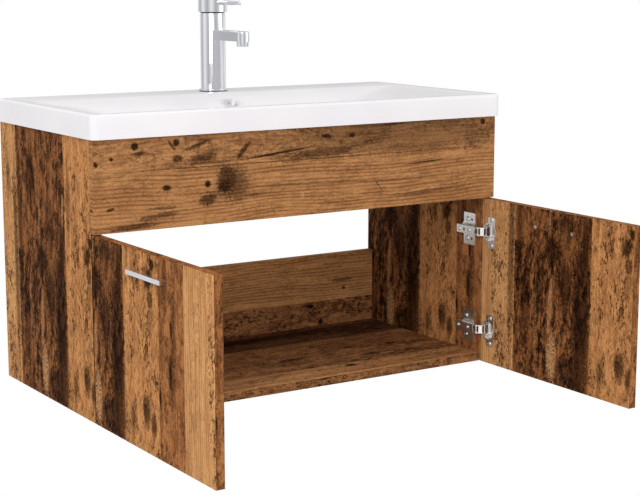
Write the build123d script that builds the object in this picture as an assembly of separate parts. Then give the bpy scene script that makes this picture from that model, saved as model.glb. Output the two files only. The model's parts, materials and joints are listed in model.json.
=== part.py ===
"""Wall-hung bathroom cabinet with two doors, a ceramic basin and a single-lever mixer tap.

Millimetres, +Z up, +X along the width, the wall behind at +Y and the doors in front at -Y.
The origin is the middle of the four wall fixings, on the plane of the wall. The doors are
drawn standing open at a right angle and the tap's lever lies forward and down.
"""
from math import atan2, cos, degrees, hypot, pi, sin
import os

from build123d import *

# Carcass boards
cabinet_width = 800.0
cabinet_depth = 385.0
cabinet_height = 460.0
board = 15.0
fascia_height = 150.0
lower_rail_height = 144.0
upper_rail_height = 120.0
fixing_side_inset = 85.0
fixing_hole_radius = 4.5

# Doors, closed and open
door_side_reveal = 1.5
door_middle_gap = 2.4
door_top_gap = 2.0
door_standoff = 2.0
door_open_gap = 2.8
door_edge_radius = 1.0

# Cam fittings and dowels of the carcass
cam_radius = 7.5
cam_depth = 12.0
cam_distance = 24.0
bolt_radius = 2.5
bolt_screwed_depth = 11.0
bolt_head_radius = 3.2
dowel_radius = 4.0
dowel_shallow_depth = 10.0
dowel_deep_depth = 18.0
drill_clearance = 0.1
joint_front_inset = 50.0
joint_back_inset = 60.0
dowel_from_cam = 32.0

# Concealed hinges: u runs in from the cabinet's outer face, v runs forward from the wall
hinge_from_door_end = 62.0
arm_pivot_u = 26.0
arm_pivot_ahead = 3.0
cup_pivot_depth = 2.0
cup_edge_distance = 22.0
cup_radius = 17.5
cup_wall = 1.0
cup_depth = 11.5
cup_flange_thickness = 1.2
cup_flange_width = 20.0
cup_screw_offset = 6.0
cup_screw_spacing = 48.0
cup_flange_past_screw = 5.0
cup_notch_half = 8.2
cup_ear = 1.2
arm_pin_radius = 1.5
cup_pin_radius = 1.1
pivot_clearance = 0.05
link_eye_radius = 1.8
link_heel_radius = 3.0
link_cheek = 1.2
link_half_width = 7.6
link_crank = 4.6
arm_half_width = 7.5
arm_steel = 1.5
arm_top_u = 29.0
arm_cheek_height = 9.0
arm_back_v = 314.0
arm_nose_half = 5.8
arm_nose_radius = 2.6
arm_screw_head_radius = 3.2
arm_screw_head = 1.4
arm_slot_radius = 2.8
arm_screw_from_back = 8.0
arm_screw_from_front = 20.0
plate_steel = 2.0
plate_length = 60.0
plate_front_inset = 16.0
plate_depth = 34.0
plate_rib_height = 4.0
plate_screw_inset = 39.0
plate_hole_pitch = 13.0
plate_screw_spacing = 36.0
plate_slot = 5.0
chip_screw_radius = 2.0
chip_screw_head_radius = 3.9
chip_screw_head = 1.8
chip_screw_length = 11.0

# Handles
handle_length = 112.0
handle_projection = 11.0
handle_lip_height = 7.0
handle_steel = 2.0
handle_post_width = 8.0
handle_screw_spacing = 96.0
handle_below_door_top = 34.0
handle_screw_radius = 2.0
handle_screw_head_radius = 3.5
handle_screw_head = 2.0
handle_thread_depth = 7.0
handle_screw_clearance = 0.2

# Basin
basin_side_overhang = 5.0
basin_front_overhang = 10.0
rim_height = 40.0
rim_corner_radius = 12.0
rim_edge_radius = 5.0
skirt = 16.0
deck_thickness = 14.0
bowl_wall = 9.0
waste_radius = 22.5
waste_boss_radius = 34.0
waste_boss_height = 54.0
waste_from_wall = 230.0
tap_from_wall = 50.0
tap_hole_radius = 17.5
overflow_radius = 11.0
overflow_from_wall = 121.0
overflow_below_rim = 15.5
overflow_tilt = 38.0
duct_half_width = 14.0
duct_wall = 9.0

# Tap
seal_thickness = 1.5
seal_radius = 26.0
tap_ring_height = 2.5
tap_ring_radius = 26.5
tap_body_radius = 23.5
tap_body_height = 143.5
tap_shoulder = 3.0
cartridge_radius = 17.5
cartridge_height = 26.0
cartridge_seat_below_top = 38.0
cartridge_nut_bore_radius = 14.5
spout_half_width = 12.0
spout_height = 18.0
spout_underside = 95.0
spout_reach = 111.0
spout_edge_radius = 3.0
waterway_radius = 4.5
waterway_rise = 1.0
aerator_radius = 11.0
aerator_thread_radius = 9.0
aerator_bore_radius = 7.0
aerator_drop = 9.0
aerator_thread_height = 7.0
lever_pivot_below_top = 5.0
cap_radius = 27.0
cap_wall = 2.5
cap_height = 34.0
cap_top_thickness = 6.0
cap_gap = 0.5
lever_reach = 104.0
lever_root_radius = 5.0
lever_tip_radius = 3.7
lever_height_in_cap = 17.5
stem_width = 10.0
stem_thickness = 8.0
lift_pin_radius = 1.5
carrier_radius = 13.0
carrier_thickness = 3.0
carrier_ear = 3.5
inlet_radius = 5.0
inlet_depth = 12.0
inlet_offset_x = 9.0
inlet_offset_y = 7.0
stud_radius = 4.0
stud_offset = 12.0
stud_length = 62.0
stud_depth_in_tap = 12.0
clamp_radius = 24.0
clamp_rubber = 3.0
clamp_steel = 2.5
clamp_mouth_half = 15.5
nut_radius = 7.5
nut_height = 6.5

# Places that follow from the sizes above
basin_width = cabinet_width + 2 * basin_side_overhang
basin_depth = cabinet_depth + basin_front_overhang
upper_fixing_height = cabinet_height - upper_rail_height / 2
lower_fixing_height = board + lower_rail_height / 2
underside = -(upper_fixing_height + lower_fixing_height) / 2
top = underside + cabinet_height
half_width = cabinet_width / 2
inner_half = half_width - board
side_front = cabinet_depth - board
fascia_underside = top - fascia_height
floor_top = underside + board
door_width = (cabinet_width - 2 * door_side_reveal - door_middle_gap) / 2
door_top = fascia_underside - door_top_gap
door_height = door_top - underside
hinge_from_door_middle = door_height / 2 - hinge_from_door_end
hinge_heights = [underside + door_height / 2 + s * hinge_from_door_middle for s in (-1, 1)]
door_hinge_edge = side_front + door_open_gap
rim_top = top + rim_height
SIDES = {"left": -1, "right": 1}


def block(x0, x1, y0, y1, z0, z1):
    """A box between two corners, whichever way round they are given."""
    size = (abs(x1 - x0), abs(y1 - y0), abs(z1 - z0))
    return Pos((x0 + x1) / 2, (y0 + y1) / 2, (z0 + z1) / 2) * Box(*size)


def rod(start, end, radius):
    """A round bar from one point to another."""
    a, b = Vector(*start), Vector(*end)
    length = (b - a).length
    return Plane(origin=(a + b) * 0.5, z_dir=b - a) * Cylinder(radius, length)


def prism(points, z0, z1):
    """A solid with that outline in plan, between two heights."""
    face = make_face(Polyline(*points, close=True))
    return Pos(0, 0, z0) * extrude(face, z1 - z0, dir=(0, 0, 1))


def union(shapes):
    """All the shapes as one solid."""
    whole = shapes[0]
    for shape in shapes[1:]:
        whole = whole + shape
    return whole


def save(name, solids):
    """Writes one sub-part, a single solid or a group of like solids, to its own file."""
    group = solids if isinstance(solids, list) else [solids]
    parts = [piece for shape in group for piece in shape.solids()]
    shape = parts[0] if len(parts) == 1 else Compound(children=parts)
    shape.label = name
    export_step(shape, f"parts/{name}.step")


def side_x(side, u):
    """X of a point that lies u inside the cabinet's outer face on that side."""
    return side * (half_width - u)


def plan(side, points):
    """Plan points given as (u, v), turned into X and Y on that side."""
    return [(side_x(side, u), -v) for u, v in points]


def beam(side, u0, u1, v0, v1, z0, z1):
    """A box on one side of the cabinet, given in u and v."""
    return block(side_x(side, u0), side_x(side, u1), -v0, -v1, z0, z1)


def bore(side, u0, u1, v, z, radius):
    """A round bar across the cabinet from u0 to u1."""
    return rod((side_x(side, u0), -v, z), (side_x(side, u1), -v, z), radius)


# Cam fittings and dowels. Each joins an end of one board to the face of another: origin is
# where the fitting crosses the joint, inward runs from the joint into the board that holds the
# cam, and away points from the middle of that board to the face that the cam is let into.


def cam_fitting(origin, inward, away):
    """The cam, its bolt, and what is drilled out of the two boards for them."""
    o, n, face = Vector(*origin), Vector(*inward), Vector(*away)
    centre = o + n * cam_distance
    mouth = centre + face * (board / 2)
    cam = rod(mouth, mouth - face * cam_depth, cam_radius)
    pocket = rod(centre - n * (cam_radius + 1), centre + n * 2.5, bolt_head_radius + 0.3)
    slot_across = n.cross(face)
    slot = rod(mouth - slot_across * 5, mouth + slot_across * 5, 0.9)
    cam = cam - pocket - slot
    screwed = rod(o - n * bolt_screwed_depth, o, bolt_radius)
    neck = rod(o, centre - n * 2, bolt_radius * 0.7)
    head = rod(centre - n * 2, centre + n * 1.5, bolt_head_radius)
    bolt = screwed + neck + head
    cam_hole = rod(mouth, mouth - face * cam_depth, cam_radius + drill_clearance)
    bolt_hole = rod(o, centre, bolt_head_radius + 0.3)
    screw_hole = rod(o - n * bolt_screwed_depth, o, bolt_radius)
    return cam, bolt, cam_hole + bolt_hole, screw_hole


def dowel_fitting(origin, inward):
    """A wooden dowel across a joint and the two holes that it sits in."""
    o, n = Vector(*origin), Vector(*inward)
    shallow = o - n * dowel_shallow_depth
    deep = o + n * dowel_deep_depth
    dowel = rod(shallow + n * 0.5, deep - n * 0.5, dowel_radius)
    hole_radius = dowel_radius + drill_clearance
    return dowel, rod(o, deep, hole_radius), rod(shallow, o, hole_radius)


def build_carcass():
    """The six boards with their fittings. Returns the boards and the fittings by name."""
    boards = {
        "bottom_panel": block(-inner_half, inner_half, -side_front, 0, underside, floor_top),
        "lower_back_rail": block(-inner_half, inner_half, -board, 0, floor_top,
                                 floor_top + lower_rail_height),
        "upper_back_rail": block(-inner_half, inner_half, -board, 0,
                                 top - upper_rail_height, top),
        "front_fascia": block(-half_width, half_width, -cabinet_depth, -side_front,
                              fascia_underside, top),
    }
    for name, side in SIDES.items():
        boards[f"side_panel_{name}"] = block(side * half_width, side * inner_half,
                                             -side_front, 0, underside, top)
    fittings = {"cam_locks": [], "cam_bolts": [], "joint_dowels": []}

    def add_cam(holder, screwed_into, origin, inward, away):
        cam, bolt, cam_cut, screw_cut = cam_fitting(origin, inward, away)
        fittings["cam_locks"].append(cam)
        fittings["cam_bolts"].append(bolt)
        boards[holder] = boards[holder] - cam_cut
        boards[screwed_into] = boards[screwed_into] - screw_cut

    def add_dowel(deep_board, shallow_board, origin, inward):
        dowel, deep_cut, shallow_cut = dowel_fitting(origin, inward)
        fittings["joint_dowels"].append(dowel)
        boards[deep_board] = boards[deep_board] - deep_cut
        boards[shallow_board] = boards[shallow_board] - shallow_cut

    mid_rail_y = -board / 2
    mid_floor = underside + board / 2
    rails = {"lower_back_rail": lower_fixing_height, "upper_back_rail": upper_fixing_height}
    for name, side in SIDES.items():
        panel = f"side_panel_{name}"
        joint_x = side * inner_half
        inward = (-side, 0, 0)
        for y, step in ((-side_front + joint_front_inset, 1), (-joint_back_inset, -1)):
            add_cam("bottom_panel", panel, (joint_x, y, mid_floor), inward, (0, 0, -1))
            dowel_y = y + step * dowel_from_cam
            add_dowel("bottom_panel", panel, (joint_x, dowel_y, mid_floor), inward)
        for rail, height in rails.items():
            z = underside + height
            add_cam(rail, panel, (joint_x, mid_rail_y, z), inward, (0, 1, 0))
            for step in (-1, 1):
                dowel_z = z + step * dowel_from_cam
                add_dowel(rail, panel, (joint_x, mid_rail_y, dowel_z), inward)
        side_middle = side * (half_width - board / 2)
        for z in (fascia_underside + joint_front_inset / 2, top - joint_front_inset / 2):
            add_cam(panel, "front_fascia", (side_middle, -side_front, z), (0, 1, 0), inward)
        add_dowel(panel, "front_fascia", (side_middle, -side_front, top - fascia_height / 2),
                  (0, 1, 0))
    for x in (-inner_half / 2, 0, inner_half / 2):
        add_dowel("lower_back_rail", "bottom_panel", (x, mid_rail_y, floor_top), (0, 0, 1))

    fixing_x = half_width - fixing_side_inset
    for rail, height in rails.items():
        for x in (-fixing_x, fixing_x):
            z = underside + height
            hole = rod((x, -board - 1, z), (x, 1, z), fixing_hole_radius)
            boards[rail] = boards[rail] - hole
    return boards, fittings


# Hinge geometry in plan. The link turns on the arm's pin and carries the door at the cup's pin.
# The cup pin is as far from the arm's pin with the door shut as with it open, which fixes how
# far in from the door's edge it has to be.


def cup_pivot_inset():
    """How far the cup's pin lies from the door's hinge edge, from the two end positions."""
    u = arm_pivot_u
    ahead = arm_pivot_ahead
    depth = board - cup_pivot_depth
    shut_face = board + door_standoff
    spread = (shut_face - door_open_gap) * (shut_face + door_open_gap - 2 * ahead)
    rest = door_side_reveal ** 2 - 2 * door_side_reveal * u
    slope = 2 * depth * (u + ahead - shut_face)
    return (rest + spread + slope) / (2 * (u + door_open_gap - ahead - door_side_reveal))


arm_pivot = (arm_pivot_u, side_front + arm_pivot_ahead)
cup_inset = cup_pivot_inset()
cup_pivot = (board - cup_pivot_depth, door_hinge_edge + cup_inset)
cup_pivot_shut = (
    door_side_reveal + cup_inset,
    side_front + door_standoff + cup_pivot_depth,
)
link_length = hypot(cup_pivot[0] - arm_pivot[0], cup_pivot[1] - arm_pivot[1])
link_angle = atan2(cup_pivot[1] - arm_pivot[1], cup_pivot[0] - arm_pivot[0])
link_angle_shut = atan2(cup_pivot_shut[1] - arm_pivot[1], cup_pivot_shut[0] - arm_pivot[0])
link_turn = degrees(link_angle_shut - link_angle)
door_on_link_turn = 90.0 + link_turn


def from_link(along, across):
    """A point (u, v) given along the line from arm pin to cup pin, and across it to the front."""
    return (
        arm_pivot[0] + along * cos(link_angle) + across * sin(link_angle),
        arm_pivot[1] + along * sin(link_angle) - across * cos(link_angle),
    )


def disc(side, centre, radius, z0, z1):
    """A round plate standing at a plan point (u, v)."""
    x, y = side_x(side, centre[0]), -centre[1]
    return rod((x, y, z0), (x, y, z1), radius)


def bar(side, a, b, ra, rb, z0, z1):
    """A flat bar with round ends of two radii, between two plan points (u, v)."""
    du, dv = b[0] - a[0], b[1] - a[1]
    span = hypot(du, dv)
    lean = (ra - rb) / span
    flat = (1 - lean * lean) ** 0.5
    edge = []
    for s in (1, -1):
        nu = lean * du / span + s * flat * -dv / span
        nv = lean * dv / span + s * flat * du / span
        edge.append(((a[0] + ra * nu, a[1] + ra * nv), (b[0] + rb * nu, b[1] + rb * nv)))
    outline = [edge[0][0], edge[0][1], edge[1][1], edge[1][0]]
    web = prism(plan(side, outline), z0, z1)
    return web + disc(side, a, ra, z0, z1) + disc(side, b, rb, z0, z1)


def hinge_link(side, z):
    """The cranked, U-shaped link: two cheeks and the strap that joins them."""
    knee = (cup_pivot[0] + link_crank, cup_pivot[1])
    inner = link_half_width - link_cheek
    cheeks = []
    for z0, z1 in ((-link_half_width, -inner), (inner, link_half_width)):
        shank = bar(side, arm_pivot, knee, link_heel_radius, link_eye_radius, z + z0, z + z1)
        toe = bar(side, knee, cup_pivot, link_eye_radius, link_eye_radius, z + z0, z + z1)
        cheeks.append(shank + toe)
    heel_start = link_heel_radius + 1.2
    strap_points = [(heel_start, link_heel_radius - 1.0), (link_length * 0.7, link_heel_radius),
                    (link_length * 0.7, link_heel_radius + link_cheek),
                    (heel_start, link_heel_radius + link_cheek - 1.0)]
    outline = [from_link(*p) for p in strap_points]
    strap = prism(plan(side, outline), z - link_half_width, z + link_half_width)
    link = union(cheeks) + strap
    reach = link_half_width + 1
    link = link - disc(side, arm_pivot, arm_pin_radius + pivot_clearance, z - reach, z + reach)
    return link - disc(side, cup_pivot, cup_pin_radius + pivot_clearance, z - reach, z + reach)


def side_screw(side, u, v, z, radius, head_radius, head, length):
    """A pan-headed screw driven towards the outer face, the underside of its head at u."""
    screw = bore(side, u - length, u, v, z, radius) + bore(side, u, u + head, v, z, head_radius)
    arm = head_radius * 0.6
    for dv, dz in ((0.5, arm), (arm, 0.5)):
        screw = screw - beam(side, u + head - 0.8, u + head + 1, v - dv, v + dv, z - dz, z + dz)
    return screw


def chip_screw(side, u, v, z, length):
    """One of the wood screws of the hinges."""
    return side_screw(side, u, v, z, chip_screw_radius, chip_screw_head_radius,
                      chip_screw_head, length)


plate_v1 = side_front - plate_front_inset
plate_v0 = plate_v1 - plate_depth
plate_screw_v = side_front - plate_screw_inset
plate_top = board + plate_steel
arm_screw_places = (arm_back_v + arm_screw_from_back, side_front - arm_screw_from_front)
arm_hole_place = (arm_back_v + side_front - 12.0) / 2
cup_v = door_hinge_edge + cup_edge_distance
flange_v = cup_v + cup_screw_offset
cup_pin_half = cup_notch_half + cup_ear - 0.4


def pair(z, spacing):
    """The two heights that lie half a spacing below and above z."""
    return [z - spacing / 2, z + spacing / 2]


def upright_slot(side, u0, u1, v, z, radius, length):
    """A slot standing upright through u0 to u1, as long as stated from end to end."""
    plane = Plane(origin=(side_x(side, u0), -v, z), x_dir=(0, 0, 1), z_dir=(-side, 0, 0))
    return extrude(plane * SlotOverall(length, 2 * radius), u1 - u0)


def hinge_plate(side, z):
    """The winged mounting plate screwed to the side, with the rib that the arm sits over."""
    half = plate_length / 2
    rib = arm_half_width - arm_steel - 0.1
    rib_top = plate_top + plate_rib_height
    tail = rib + 1.0
    points = [(plate_v0, -half), (plate_v1, -half), (plate_v1, half), (plate_v0, half),
              (plate_v0, tail + 5), (plate_v0 - 5, tail), (plate_v0 - 5, -tail),
              (plate_v0, -tail - 5)]
    wire = Polyline(*[(side_x(side, board), -v, z + dz) for v, dz in points], close=True)
    plate = extrude(make_face(wire), plate_steel, dir=(-side, 0, 0))
    plate = plate + beam(side, board + plate_steel / 2, rib_top, plate_v0 - 3, plate_v1 - 0.5,
                         z - rib, z + rib)
    for hz in pair(z, plate_screw_spacing):
        plate = plate - bore(side, board - 1, plate_top + 1, plate_screw_v + plate_hole_pitch,
                             hz, 2.6)
        plate = plate - upright_slot(side, board - 1, plate_top + 1, plate_screw_v, hz,
                                     chip_screw_radius + 0.3, plate_slot + 4.6)
    for v in arm_screw_places:
        plate = plate - bore(side, plate_top, rib_top + 1, v, z, chip_screw_radius)
    return plate


def hinge_arm(side, z):
    """The channel-shaped arm with its nose, which holds the arm pin."""
    spine_end = side_front - 4.0
    low_u = arm_top_u - arm_cheek_height
    w = arm_half_width
    nose_inner = arm_nose_half - link_cheek
    arm = beam(side, arm_top_u - arm_steel, arm_top_u, arm_back_v, spine_end, z - w, z + w)
    for s in (-1, 1):
        arm = arm + beam(side, low_u, arm_top_u, arm_back_v + 3, spine_end,
                         z + s * (w - arm_steel), z + s * w)
        arm = arm + beam(side, low_u + 3, arm_top_u, spine_end - 8, spine_end,
                         z + s * nose_inner, z + s * w)
        z0, z1 = sorted((z + s * nose_inner, z + s * arm_nose_half))
        arm = arm + bar(side, (arm_pivot_u, spine_end - 2), arm_pivot, arm_nose_radius,
                        arm_nose_radius, z0, z1)
    arm = arm - disc(side, arm_pivot, arm_pin_radius, z - 10, z + 10)
    for v in arm_screw_places:
        arm = arm - bore(side, arm_top_u - arm_steel, arm_top_u, v, z, chip_screw_radius + 0.2)
    return arm - bore(side, arm_top_u - arm_steel, arm_top_u, arm_hole_place, z, arm_slot_radius)


def hinge_cup(side, z):
    """The cup let into the door, with its flange, its pin ears and the notch for the link."""
    face, floor, flange = board, board - cup_depth, board + cup_flange_thickness
    cup = bore(side, floor, face, cup_v, z, cup_radius)
    hollow = bore(side, floor + cup_wall, flange, cup_v, z, cup_radius - cup_wall)
    ears = beam(side, floor, face, cup_v - cup_radius, cup_v - cup_radius / 2,
                z - cup_notch_half - cup_ear, z + cup_notch_half + cup_ear) & cup
    half_width_of_flange = cup_flange_width / 2
    reach = cup_screw_spacing / 2 + cup_flange_past_screw
    plate = beam(side, face, flange, flange_v - half_width_of_flange,
                 flange_v + half_width_of_flange, z - reach, z + reach)
    plate = fillet(plate.edges() | Axis.X, 4.0)
    cup = cup + bore(side, face, flange, cup_v, z, cup_radius + 1.0) + plate - hollow + ears
    cup = cup - beam(side, floor + cup_wall + 3, flange, cup_v - cup_radius - 2,
                     cup_v - cup_radius / 2 + 1, z - cup_notch_half, z + cup_notch_half)
    for hz in pair(z, cup_screw_spacing):
        cup = cup - bore(side, face, flange, flange_v, hz, chip_screw_radius + 0.2)
    return cup - disc(side, cup_pivot, cup_pin_radius, z - cup_pin_half, z + cup_pin_half)


def build_hinge(side, z):
    """One concealed hinge with the door open, as its separate pieces."""
    pin_half = link_half_width + 0.6
    flange = board + cup_flange_thickness
    return {
        "hinge_plates": [hinge_plate(side, z)],
        "hinge_plate_screws": [
            chip_screw(side, plate_top, plate_screw_v, hz, chip_screw_length + plate_steel)
            for hz in pair(z, plate_screw_spacing)
        ],
        "hinge_arms": [hinge_arm(side, z)],
        "hinge_arm_screws": [
            side_screw(side, arm_top_u, v, z, chip_screw_radius, arm_screw_head_radius,
                       arm_screw_head, arm_top_u - plate_top)
            for v in arm_screw_places
        ],
        "hinge_arm_pins": [disc(side, arm_pivot, arm_pin_radius, z - pin_half, z + pin_half)],
        "links": [hinge_link(side, z)],
        "cup_pins": [disc(side, cup_pivot, cup_pin_radius, z - cup_pin_half, z + cup_pin_half)],
        "cups": [hinge_cup(side, z)],
        "cup_screws": [
            chip_screw(side, flange, flange_v, hz, chip_screw_length)
            for hz in pair(z, cup_screw_spacing)
        ],
    }


def build_door(side):
    """The door board, open at a right angle, bored for its cups, screws and handle."""
    door = beam(side, 0, board, door_hinge_edge, door_hinge_edge + door_width, underside, door_top)
    door = fillet(door.edges() | Axis.Z, door_edge_radius)
    screw_end = board + cup_flange_thickness - chip_screw_length
    for z in hinge_heights:
        door = door - bore(side, board - cup_depth - drill_clearance, board, cup_v, z,
                           cup_radius + drill_clearance)
        for hz in pair(z, cup_screw_spacing):
            door = door - bore(side, screw_end, board, flange_v, hz, chip_screw_radius)
    for v in pair(door_middle, handle_screw_spacing):
        door = door - bore(side, 0, board, v, handle_z,
                           handle_screw_radius + handle_screw_clearance)
    return door


door_middle = door_hinge_edge + door_width / 2
handle_z = door_top - handle_below_door_top


def build_handle(side):
    """A bar handle: a top plate back to the door, a front lip and two threaded posts."""
    high = handle_z + handle_lip_height / 2
    low = handle_z - handle_lip_height / 2
    lip_u = handle_steel - handle_projection
    v0 = door_middle - handle_length / 2
    v1 = door_middle + handle_length / 2
    handle = beam(side, -handle_projection, 0, v0, v1, high - handle_steel, high)
    handle = handle + beam(side, -handle_projection, lip_u, v0, v1, low, high)
    rounded = handle.edges().filter_by(Axis.Y).filter_by_position(
        Axis.Z, high - 0.01, high + 0.01).sort_by(lambda e: -abs(e.center().X))[0:1]
    handle = fillet(rounded, 0.8)
    for v in pair(door_middle, handle_screw_spacing):
        handle = handle + beam(side, lip_u, 0, v - handle_post_width / 2,
                               v + handle_post_width / 2, low, high - handle_steel)
        handle = handle - bore(side, -handle_thread_depth, 0, v, handle_z, handle_screw_radius)
    return handle


def handle_screws(side):
    """The two machine screws from inside the door into the handle's posts."""
    return [
        side_screw(side, board, v, handle_z, handle_screw_radius, handle_screw_head_radius,
                   handle_screw_head, board + handle_thread_depth - 0.5)
        for v in pair(door_middle, handle_screw_spacing)
    ]


# Basin. The dish is a smooth loft through rounded outlines. Each has its depth below the rim,
# how far in from the basin's side it is, its distance from the wall, how far it is behind the
# basin's front, and its corner radius.
dish_levels = (
    (0.0, 14.0, 90.0, 12.0, 16.0),
    (6.0, 33.0, 103.0, 17.0, 30.0),
    (16.0, 73.0, 121.0, 24.0, 48.0),
    (35.0, 122.0, 143.0, 35.0, 62.0),
    (65.0, 168.0, 163.0, 49.0, 70.0),
    (95.0, 210.0, 182.0, 65.0, 68.0),
    (112.0, 255.0, 202.0, 87.0, 50.0),
)
dish_floor_fall = 4.0
shell_drop = 10.0
shell_top = (9.0, 13.0, 84.0, 11.0, 16.0)
shell_gap = 4.0
shell_skirt_gap = 7.0
corner_share = 0.48


def outline(depth, side_inset, back, front_inset, radius):
    """A rounded rectangle in plan at that depth below the rim, its corners within its sides."""
    front = basin_depth - front_inset
    wide, long = basin_width - 2 * side_inset, front - back
    sketch = RectangleRounded(wide, long, min(radius, corner_share * wide, corner_share * long))
    return Pos(0, -(back + front) / 2, rim_top - depth) * sketch


def build_dish():
    """The space inside the basin: the lofted bowl and a shallow cone down to the waste."""
    loft_body = loft([outline(*level) for level in dish_levels])
    deepest = rim_top - dish_levels[-1][0]
    cone = Pos(0, -waste_from_wall, deepest - dish_floor_fall / 2) * Cone(
        waste_radius, waste_radius * 2, dish_floor_fall)
    above = extrude(outline(*dish_levels[0]), 1, dir=(0, 0, 1))
    return loft_body + cone + above


def build_shell():
    """The outside of the bowl under the deck, a wall's thickness from the dish."""
    rows = [outline(*shell_top)]
    behind_fascia = basin_front_overhang + board + shell_gap
    for depth, side_inset, back, front_inset, radius in dish_levels[1:]:
        low = depth + shell_drop
        least = behind_fascia if low > rim_height else skirt + shell_skirt_gap
        rows.append(outline(low, side_inset - bowl_wall, back - bowl_wall,
                            max(front_inset - bowl_wall, least), radius + bowl_wall))
    return loft(rows)


# The overflow duct runs down behind the bowl. Both lines are points in the plane of symmetry,
# each a distance from the wall and a depth below the rim.
rib_line = (
    (88.0, 12.0), (88.0, 36.0), (112.0, 60.0), (150.0, 118.0), (178.0, 150.0),
    (waste_from_wall, 150.0), (waste_from_wall, 100.0), (170.0, 70.0), (135.0, 30.0), (110.0, 12.0),
)
duct_line = (
    (107.0, 26.0), (121.0, 48.0), (158.0, 112.0), (186.0, 141.0), (215.0, 141.0),
    (215.0, 127.0), (190.0, 127.0), (168.0, 105.0), (131.0, 41.0), (118.0, 22.0),
)


def profile(line, half):
    """A slab of that half width whose side view is the line."""
    wire = Polyline(*[(0, -wall, rim_top - depth) for wall, depth in line], close=True)
    return Pos(-half, 0, 0) * extrude(make_face(wire), 2 * half, dir=(1, 0, 0))


def build_basin():
    """The glazed basin in one piece: rim with a hollow underside, bowl, tap and waste holes."""
    rim = Pos(0, -basin_depth / 2, top) * extrude(
        RectangleRounded(basin_width, basin_depth, rim_corner_radius), rim_height)
    upper_edges = rim.edges().filter_by_position(Axis.Z, rim_top - 0.01, rim_top + 0.01)
    rim = fillet(upper_edges, rim_edge_radius)
    hollow = Pos(0, -basin_depth / 2, top) * extrude(
        RectangleRounded(basin_width - 2 * skirt, basin_depth - 2 * skirt,
                         rim_corner_radius / 2), rim_height - deck_thickness)
    basin = rim - hollow
    boss_top = rim_top - dish_levels[-1][0]
    boss_bottom = boss_top - dish_floor_fall - waste_boss_height
    boss = rod((0, -waste_from_wall, boss_bottom), (0, -waste_from_wall, boss_top),
               waste_boss_radius)
    basin = basin + build_shell() + boss + profile(rib_line, duct_half_width + duct_wall)
    basin = basin - build_dish()
    basin = basin - rod((0, -waste_from_wall, boss_bottom - 1),
                        (0, -waste_from_wall, boss_top + 1), waste_radius)
    basin = basin - profile(duct_line, duct_half_width)
    hole = Vector(0, -overflow_from_wall, rim_top - overflow_below_rim)
    lean = overflow_tilt * pi / 180
    bore = Vector(0, sin(lean), -cos(lean))
    basin = basin - rod(hole - bore * 12, hole + bore * 14, overflow_radius)
    tap_bottom = rim_top - deck_thickness - 1
    return basin - rod((0, -tap_from_wall, tap_bottom), (0, -tap_from_wall, rim_top + 1),
                       tap_hole_radius)


# Tap. Heights are above the basin's deck and distances are from the body's axis.
tap_y = -tap_from_wall
body_bottom = rim_top + seal_thickness
body_top = body_bottom + tap_body_height
pivot_z = body_top - lever_pivot_below_top
cartridge_seat = body_top - cartridge_seat_below_top
cap_bottom = body_top + cap_gap
lever_z = cap_bottom + lever_height_in_cap
spout_z0 = rim_top + spout_underside
spout_z1 = spout_z0 + spout_height


def upright(radius, z0, z1, x=0.0, y=0.0):
    """A round bar standing beside the tap's axis."""
    return rod((x, tap_y + y, z0), (x, tap_y + y, z1), radius)


def build_tap_body():
    """The cast body with its spout, cartridge seat, waterway, inlets and stud hole."""
    column = upright(tap_body_radius, body_bottom, body_top)
    column = chamfer(column.edges().filter_by_position(Axis.Z, body_top - 0.01, body_top + 0.01),
                     tap_shoulder, tap_shoulder / 2)
    tip_y = tap_y - spout_reach
    arm = block(-spout_half_width, spout_half_width, tap_y, tip_y, spout_z0, spout_z1)
    arm = arm + rod((0, tip_y, spout_z0), (0, tip_y, spout_z1), spout_half_width)
    arm = fillet(arm.edges().filter_by_position(Axis.Z, spout_z1 - 0.01, spout_z1 + 0.01)
                 .filter_by_position(Axis.Y, tip_y - spout_half_width, tap_y - 1),
                 spout_edge_radius)
    body = column + arm
    body = body - upright(cartridge_radius + drill_clearance, cartridge_seat, body_top + 1)
    water_z = spout_z0 + spout_height / 2 + waterway_rise
    water = rod((0, tap_y, water_z), (0, tip_y, water_z), waterway_radius)
    body = body - water
    body = body - rod((0, tip_y, spout_z0 - 1), (0, tip_y, spout_z0 + aerator_thread_height),
                      aerator_thread_radius)
    riser = upright(waterway_radius, water_z, cartridge_seat)
    body = body - riser
    body = body - rod((0, tip_y, spout_z0), (0, tip_y, water_z), waterway_radius)
    for s in (-1, 1):
        body = body - upright(inlet_radius, body_bottom, body_bottom + inlet_depth,
                              s * inlet_offset_x, -inlet_offset_y)
    return body - upright(stud_radius, body_bottom, body_bottom + stud_depth_in_tap, 0,
                          stud_offset)


def build_aerator():
    """The screwed ring under the spout's tip and the strainer inside it."""
    tip_y = tap_y - spout_reach
    foot = spout_z0 - aerator_drop
    top_z = spout_z0 + aerator_thread_height - 0.5
    ring = rod((0, tip_y, foot), (0, tip_y, spout_z0), aerator_radius)
    ring = fillet(ring.edges().filter_by_position(Axis.Z, foot - 0.01, foot + 0.01), 1.0)
    ring = ring + rod((0, tip_y, spout_z0), (0, tip_y, top_z), aerator_thread_radius)
    ring = ring - rod((0, tip_y, foot - 1), (0, tip_y, top_z + 1), aerator_bore_radius)
    insert = rod((0, tip_y, foot + 1), (0, tip_y, top_z), aerator_bore_radius)
    for k in range(-2, 3):
        insert = insert - block(k * 2.4 - 0.5, k * 2.4 + 0.5, tip_y - 4.6, tip_y + 4.6,
                                foot, foot + 4)
    insert = insert - rod((0, tip_y, foot + 6), (0, tip_y, top_z + 1), aerator_bore_radius - 2)
    return ring, insert


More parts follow.
